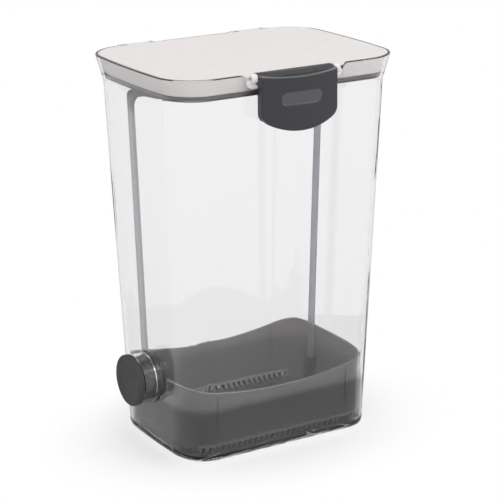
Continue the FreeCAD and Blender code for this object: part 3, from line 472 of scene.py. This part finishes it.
# Painted highlights: swirl lines low in the foot and the foot's lowest edge turn metallic, to
# mirror the room as bright glints.
swirls = object_grain(nodes, links, 42, detail=1.5, stretch=(0.6, 1, 3))
off_middle = combined(nodes, links, "SUBTRACT", swirls, swirl_middle)
swirl_glint = ramp(
    nodes, links, combined(nodes, links, "ABSOLUTE", off_middle), 0.006, 0.016, 0.8, 0.0)
swirl_level = ramp(nodes, links, height, 0.0065, 0.0075, 1.0, 0.0)
foot_edge_highlight = ramp(nodes, links, height, 0.0024, 0.0034, 0.9, 0.0)
gleam = combined(nodes, links, "MULTIPLY", swirl_glint, swirl_level)
links.new(combined(nodes, links, "MAXIMUM", gleam, foot_edge_highlight), shader.inputs["Metallic"])
shader.inputs["IOR"].default_value = 1.5
shader.inputs["Specular IOR Level"].default_value = 0.25
uneven_gloss(nodes, links, shader, object_grain(nodes, links, 9), 0.0, 0.02)
ripple_share = ramp(nodes, links, height, 0.004, 0.009, 1.0, 0.012)
ripples = object_grain(nodes, links, 55, detail=1, stretch=(1, 1, 2))
raise_bumps(
    nodes, links, shader, combined(nodes, links, "MULTIPLY", ripples, ripple_share), 0.0008)
let_lamps_through(nodes, links, shader, (0.9, 0.9, 0.9))
tint_inside(nodes, links, (0.53, 0.52, 0.54), 8)
keeper = moulded_copy("keeper_moulding", "container")
rounder_foot(keeper)
stand_in(keeper, "base", "container", clear_plastic)

# ---------------------------------------------------------------------------------------------
# Basket and its arch handle: glossy smoky see-through mouldings that stand on the container's
# floor and lift out by the handle, whose feet sit in sockets. The tub is painted darker low down
# and lighter towards its rim, with painted shade in its drain slots along the long sides, and the
# handle carries painted shade near its top, under the lid.


def discard(piece):
    bpy.data.objects.remove(piece, do_unlink=True)


def dress(node, finish):
    """Give a CAD node its finish, with its triangles joined and its curves smooth."""
    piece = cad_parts[node]
    piece.data.materials.clear()
    piece.data.materials.append(finish)
    piece.data.polygons.foreach_set("use_smooth", [True] * len(piece.data.polygons))
    weld = piece.modifiers.new("join", "WELD")
    weld.merge_threshold = loose_gap
    split = piece.modifiers.new("corners", "EDGE_SPLIT")
    split.split_angle = math.radians(moulded_corner)
    flats = piece.modifiers.new("flats", "WEIGHTED_NORMAL")
    flats.keep_sharp = True
    flats.weight = 100


tub_low, tub_high = (0.215, 0.212, 0.212), (0.27, 0.255, 0.25)
drain_tone, slot_shade_tone = (0.42, 0.415, 0.415), (0.008, 0.008, 0.008)
slot_pitch = 0.0039
slots_past_middle = 40
smoky_plastic, nodes, links, shader = new_finish("smoky_plastic")
place = object_axes(nodes, links)
# The tub is painted darker low down and lighter above.
rising = ramp(nodes, links, place["Z"], 0.031, 0.042, 0.0, 1.0)
tub_tone = colour_between(nodes, links, rising, tub_low, tub_high)
to_side = combined(nodes, links, "ABSOLUTE", place["Y"])
on_side = ramp(nodes, links, to_side, 0.0392, 0.0402, 0.0, 1.0)
# Along the long sides, the lowest strip is painted a lighter grey.
drain_level = ramp(nodes, links, place["Z"], 0.0108, 0.0135, 1.0, 0.0)
drain_band = combined(nodes, links, "MULTIPLY", drain_level, on_side)
tub_tone = colour_between(nodes, links, drain_band, tub_tone, drain_tone)
# Painted shade: dark ticks at the drain slots' pitch, low on the long sides.
from_end = combined(nodes, links, "ADD", place["X"], slot_pitch * slots_past_middle)
to_slot = combined(nodes, links, "PINGPONG", from_end, slot_pitch / 2)
beside_slot = ramp(nodes, links, to_slot, 0.0006, 0.0010, 1.0, 0.0)
slot_level = ramp(nodes, links, place["Z"], 0.0102, 0.0106, 1.0, 0.0)
in_slot_shade = combined(
    nodes, links, "MULTIPLY", combined(nodes, links, "MULTIPLY", beside_slot, slot_level), on_side)
links.new(
    colour_between(nodes, links, in_slot_shade, tub_tone, slot_shade_tone), shader.inputs["Base Color"])
shader.inputs["Transmission Weight"].default_value = 0.6
shader.inputs["IOR"].default_value = 1.45
shader.inputs["Specular IOR Level"].default_value = 0.3
uneven_gloss(nodes, links, shader, object_grain(nodes, links, 30), 0.12, 0.2)
raise_bumps(nodes, links, shader, object_grain(nodes, links, 40, detail=2), 0.00003)
let_lamps_through(nodes, links, shader, (0.3, 0.3, 0.3))
tub = moulded_copy("basket_moulding", "basket")
rounder_foot(tub)
stand_in(tub, "base", "basket", smoky_plastic)
discard(corner_lattice)
discard(foot_lattice)

# Painted shade: the handle is painted darker near its top, where it runs under the lid.
arm_tone, arch_shade_tone = (0.5, 0.49, 0.53), (0.2, 0.2, 0.23)
handle_plastic, nodes, links, shader = new_finish("handle_plastic")
under_lid_shade = ramp(nodes, links, object_axes(nodes, links)["Z"], 0.205, 0.214, 0.0, 1.0)
links.new(
    colour_between(nodes, links, under_lid_shade, arm_tone, arch_shade_tone), shader.inputs["Base Color"])
shader.inputs["Transmission Weight"].default_value = 0.6
shader.inputs["IOR"].default_value = 1.45
uneven_gloss(nodes, links, shader, object_grain(nodes, links, 60), 0.1, 0.2)
raise_bumps(nodes, links, shader, object_grain(nodes, links, 80, detail=2), 0.00003)
let_lamps_through(nodes, links, shader, (0.5, 0.5, 0.5))
dress("basket_handle", handle_plastic)

# ---------------------------------------------------------------------------------------------
# Lid: a warm off-white moulded cover over a clear liner, with a grey silicone gasket clamped
# between them. It swings on two pins at the back and drops inside the container's mouth.
cover_light, reflected_band_tone = (0.86, 0.825, 0.815), (0.82, 0.785, 0.775)
lid_plastic, nodes, links, shader = new_finish("lid_plastic")
# Painted reflection: faint bands by height, which show on the skirt, stand in for the clear rim's
# reflections on it.
rim_reflection_bands = nodes.new("ShaderNodeTexWave")
rim_reflection_bands.bands_direction = "Z"
rim_reflection_bands.inputs["Scale"].default_value = 160
rim_reflection_bands.inputs["Distortion"].default_value = 1.5
rim_reflection_bands.inputs["Detail"].default_value = 1
links.new(object_place(nodes), rim_reflection_bands.inputs["Vector"])
links.new(
    colour_between(nodes, links, rim_reflection_bands.outputs["Fac"], cover_light, reflected_band_tone),
    shader.inputs["Base Color"])
shader.inputs["Specular IOR Level"].default_value = 0.35
uneven_gloss(nodes, links, shader, object_grain(nodes, links, 60), 0.46, 0.54)
raise_bumps(nodes, links, shader, object_grain(nodes, links, 900, detail=3), 0.00001, edge=0.0007)
dress("lid_cover", lid_plastic)

liner_plastic, nodes, links, shader = new_finish("liner_plastic")
shader.inputs["Base Color"].default_value = (0.93, 0.93, 0.93, 1)
shader.inputs["Transmission Weight"].default_value = 0.9
uneven_gloss(nodes, links, shader, object_grain(nodes, links, 60), 0.1, 0.2)
let_lamps_through(nodes, links, shader, (0.9, 0.9, 0.9))
dress("lid_liner", liner_plastic)

gasket_silicone, nodes, links, shader = new_finish("gasket_silicone")
shader.inputs["Base Color"].default_value = (0.13, 0.125, 0.13, 1)
uneven_gloss(nodes, links, shader, object_grain(nodes, links, 200), 0.5, 0.65)
raise_bumps(nodes, links, shader, object_grain(nodes, links, 1500, detail=2), 0.00001)
dress("lid_gasket", gasket_silicone)

# ---------------------------------------------------------------------------------------------
# Latch: one bowed dark flap moulded in fine satin plastic, with a bare pill-shaped recess. It
# turns on a steel pin in the lid, and its hook snaps under the bar on the container. Its lower
# corners are rounded off, and its top falls away to the front.


def added(name, in_edit_mode=True):
    """The primitive that was just added, named, alone in the selection and open for editing."""
    piece = bpy.context.object
    piece.name = name
    bpy.ops.object.transform_apply(location=True, rotation=True, scale=True)
    if in_edit_mode:
        bpy.ops.object.mode_set(mode="EDIT")
    return piece


def face_outwards():
    bpy.ops.mesh.select_all(action="SELECT")
    bpy.ops.mesh.normals_make_consistent(inside=False)


latch_half_width = 0.0258
latch_lowest = 0.2054
latch_arc_rise = 0.0076
latch_arc = (latch_half_width ** 2 + latch_arc_rise ** 2) / (2 * latch_arc_rise)
latch_corner_round = 0.0038
latch_front, latch_back = -0.072, -0.05
latch_above = 0.243
latch_fall, latch_fall_cad, latch_fall_run = 0.0012, 0.0010, 0.0069
latch_fall_start = -0.0606

# The outline that rounds off the flap's two lower corners: a disc cut down to a shield.
nothing_selected()
bpy.ops.mesh.primitive_circle_add(
    vertices=256, radius=latch_arc, fill_type="NGON",
    location=(0, latch_front, latch_lowest + latch_arc), rotation=(math.pi / 2, 0, 0))
shield = added("latch_shield")
for spot, side in (
    ((latch_half_width, 0, 0), (1, 0, 0)),
    ((-latch_half_width, 0, 0), (-1, 0, 0)),
    ((0, 0, latch_above), (0, 0, 1)),
):
    bpy.ops.mesh.select_all(action="SELECT")
    bpy.ops.mesh.bisect(plane_co=spot, plane_no=side, clear_outer=True)
corner_z = latch_lowest + latch_arc_rise
corner_gap = 1.15 * latch_corner_round
pick(shield, "VERT", lambda at: at.z < corner_z - 1e-5
     and math.hypot(abs(at.x) - latch_half_width, at.z - corner_z) < corner_gap)
bpy.ops.mesh.dissolve_verts()
pick(shield, "VERT", lambda at: abs(at.x) > latch_half_width - 1e-5 and abs(at.z - corner_z) < 2e-4)
bpy.ops.mesh.bevel(affect="VERTICES", offset=latch_corner_round, segments=8)
bpy.ops.mesh.select_all(action="SELECT")
bpy.ops.mesh.extrude_region_move(
    TRANSFORM_OT_translate={"value": (0, latch_back - latch_front, 0)})
face_outwards()

# The cut that lets the flap's top fall away to the front, most in the middle.
nothing_selected()
fall_radius = (latch_half_width ** 2 + latch_fall ** 2) / (2 * latch_fall)
fall_tilt = math.atan((latch_fall + latch_fall_cad) / latch_fall_run)
bpy.ops.mesh.primitive_cylinder_add(
    vertices=1024, radius=fall_radius, depth=0.03, rotation=(math.pi / 2 + fall_tilt, 0, 0),
    location=(0, latch_fall_start, keeper_top + fall_radius / math.cos(fall_tilt)))
roll = added("latch_roll", in_edit_mode=False)

latch_flap = moulded_copy("latch_flap_moulding", "latch")
apply_modifier(
    latch_flap, "shield", "BOOLEAN", operation="INTERSECT", object=shield, solver="EXACT")
apply_modifier(latch_flap, "roll", "BOOLEAN", operation="DIFFERENCE", object=roll, solver="EXACT")
discard(shield)
discard(roll)
apply_modifier(latch_flap, "even_mesh", "REMESH", mode="VOXEL", voxel_size=0.00032)
apply_modifier(latch_flap, "soft_edges", "SMOOTH", factor=0.5, iterations=7)
apply_modifier(latch_flap, "lighter", "DECIMATE", ratio=0.4)
smoothed(latch_flap, 60)

pill_level = 0.225
pill_reach, pill_half_height = 0.010, 0.0039
top_edge_bow = 2.4
# The flap's own dark grey, with a painted sheen on the pill, a painted highlight along the top
# front edge, painted shade on the top face and painted glints on the edges.
flap_tone, pill_sheen_tone = (0.04, 0.041, 0.048), (0.087, 0.088, 0.098)
edge_highlight_tone, top_shade_tone, edge_glint_tone = (0.15, 0.152, 0.16), (0.017, 0.017, 0.02), (0.13, 0.132, 0.14)
latch_plastic, nodes, links, shader = new_finish("latch_plastic")
place = object_axes(nodes, links)
from_middle = combined(nodes, links, "ABSOLUTE", place["X"])
over_pill = combined(nodes, links, "SUBTRACT", place["Z"], pill_level)
past_pill = combined(nodes, links, "SUBTRACT", from_middle, pill_reach)
past_pill = combined(nodes, links, "MAXIMUM", past_pill, 0)
square = combined(
    nodes, links, "ADD", combined(nodes, links, "MULTIPLY", past_pill, past_pill),
    combined(nodes, links, "MULTIPLY", over_pill, over_pill))
from_pill = combined(nodes, links, "SQRT", square)
# Painted sheen: the pill recess is painted lighter, standing in for the gloss of its bare finish.
in_pill = ramp(nodes, links, from_pill, pill_half_height - 0.0004, pill_half_height, 1.0, 0.0)
faced = colour_between(nodes, links, in_pill, flap_tone, pill_sheen_tone)
# Painted highlight along the front's top edge, sagging in the middle, with painted shade on the top
# face above it.
bow = combined(
    nodes, links, "MULTIPLY", combined(nodes, links, "MULTIPLY", from_middle, from_middle),
    top_edge_bow)
level = combined(nodes, links, "SUBTRACT", over_pill, bow)
top_edge = keeper_top - latch_fall - latch_fall_cad - pill_level
on_edge_highlight = ramp(nodes, links, level, top_edge - 0.0011, top_edge - 0.0006, 0.0, 1.0)
on_top_shade = ramp(nodes, links, level, top_edge - 0.0001, top_edge + 0.0002, 0.0, 1.0)
faced = colour_between(nodes, links, on_edge_highlight, faced, edge_highlight_tone)
faced = colour_between(nodes, links, on_top_shade, faced, top_shade_tone)
# Painted highlights: edges picked out by pointiness are painted lighter, as glints.
pointed = nodes.new("ShaderNodeNewGeometry").outputs["Pointiness"]
edge_glint = ramp(nodes, links, pointed, 0.515, 0.57, 0.0, 1.0)
links.new(colour_between(nodes, links, edge_glint, faced, edge_glint_tone), shader.inputs["Base Color"])
uneven_gloss(nodes, links, shader, object_grain(nodes, links, 300), 0.34, 0.42)
raise_bumps(nodes, links, shader, object_grain(nodes, links, 2200, detail=2), 0.00002)
latch_flap.data.materials.append(latch_plastic)
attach(latch_flap, "latch_flap")
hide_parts("latch")

# ---------------------------------------------------------------------------------------------
# Stopper: a soft dark silicone plug with a dished disc for the thumb and sealing ribs. It is
# pushed into the container's neck by hand and pulled straight out.


def turned(name, rings, height, sides=96):
    """A round piece about a line along X, from rings of (x, radius), closed at both ends."""
    nothing_selected()
    x, radius = rings[0]
    bpy.ops.mesh.primitive_circle_add(
        vertices=sides, radius=radius, location=(x, 0, height), rotation=(0, math.pi / 2, 0))
    piece = added(name)
    bpy.ops.mesh.select_mode(type="EDGE")
    bpy.ops.mesh.select_all(action="SELECT")
    for next_x, next_radius in rings[1:]:
        bpy.ops.mesh.extrude_region_move(TRANSFORM_OT_translate={"value": (next_x - x, 0, 0)})
        grown = next_radius / radius
        bpy.ops.transform.resize(value=(1, grown, grown), center_override=(next_x, 0, height))
        x, radius = next_x, next_radius
    for end_x, end_radius in (rings[0], rings[-1]):
        pick(piece, "EDGE", lambda at: abs(at.x - end_x) < 1e-5
             and abs(math.hypot(at.y, at.z - height) - end_radius) < 1e-5)
        bpy.ops.mesh.edge_face_add()
    face_outwards()
    return piece


stopper_height = 0.046
disc_rings = [
    (-0.08250, 0.0020), (-0.08252, 0.0050), (-0.08262, 0.0078), (-0.08284, 0.0100),
    (-0.08318, 0.0118), (-0.08352, 0.0130), (-0.08374, 0.0138), (-0.08380, 0.0145),
    (-0.08372, 0.0151), (-0.08350, 0.0156), (-0.08316, 0.01586), (-0.08280, 0.0159),
    (-0.08060, 0.0159), (-0.08020, 0.01582), (-0.07982, 0.0155), (-0.07960, 0.0151),
    (-0.07950, 0.0146), (-0.07950, 0.0139), (-0.07935, 0.0137),
]
rib_starts = (-0.0785, -0.0755, -0.0725, -0.0680)
rib_shape = ((0, 0.0137), (0.0003, 0.01386), (0.0006, 0.0139), (0.0009, 0.01386), (0.0012, 0.0137))
rib_rings = [(start + along, radius) for start in rib_starts for along, radius in rib_shape]
plug_rings = [
    (-0.0630, 0.0137), (-0.0627, 0.0136), (-0.0625, 0.0133), (-0.0625, 0.0108),
    (-0.0627, 0.0105), (-0.0757, 0.0105), (-0.0760, 0.0101), (-0.0760, 0.0030),
]
plug = turned("stopper_plug", disc_rings + rib_rings + plug_rings, stopper_height)
smoothed(plug, 38)

stopper_silicone, nodes, links, shader = new_finish("stopper_silicone")
mottle = vary(nodes, links, object_grain(nodes, links, 160), 0.0, 1.0)
links.new(
    colour_between(nodes, links, mottle, (0.05, 0.05, 0.05), (0.058, 0.058, 0.058)),
    shader.inputs["Base Color"])
uneven_gloss(nodes, links, shader, object_grain(nodes, links, 300), 0.5, 0.65)
raise_bumps(nodes, links, shader, object_grain(nodes, links, 1500, detail=2), 0.00002)
plug.data.materials.append(stopper_silicone)
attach(plug, "stopper")
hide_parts("spout_stopper")

# ---------------------------------------------------------------------------------------------
# Pins: three short lengths of plain drawn steel wire, one through the latch and the lid's front
# ears, two through the hinge ears at the back. They are pressed in and left bare.
pin_steel, nodes, links, shader = new_finish("pin_steel")
shader.inputs["Base Color"].default_value = (0.6, 0.6, 0.62, 1)
shader.inputs["Metallic"].default_value = 1.0
drawn = object_grain(nodes, links, 400, stretch=(0.05, 1, 1))
uneven_gloss(nodes, links, shader, drawn, 0.22, 0.38)
raise_bumps(nodes, links, shader, drawn, 0.00001)
for pin in ("latch_pin", "hinge_pin_left", "hinge_pin_right"):
    dress(pin, pin_steel)
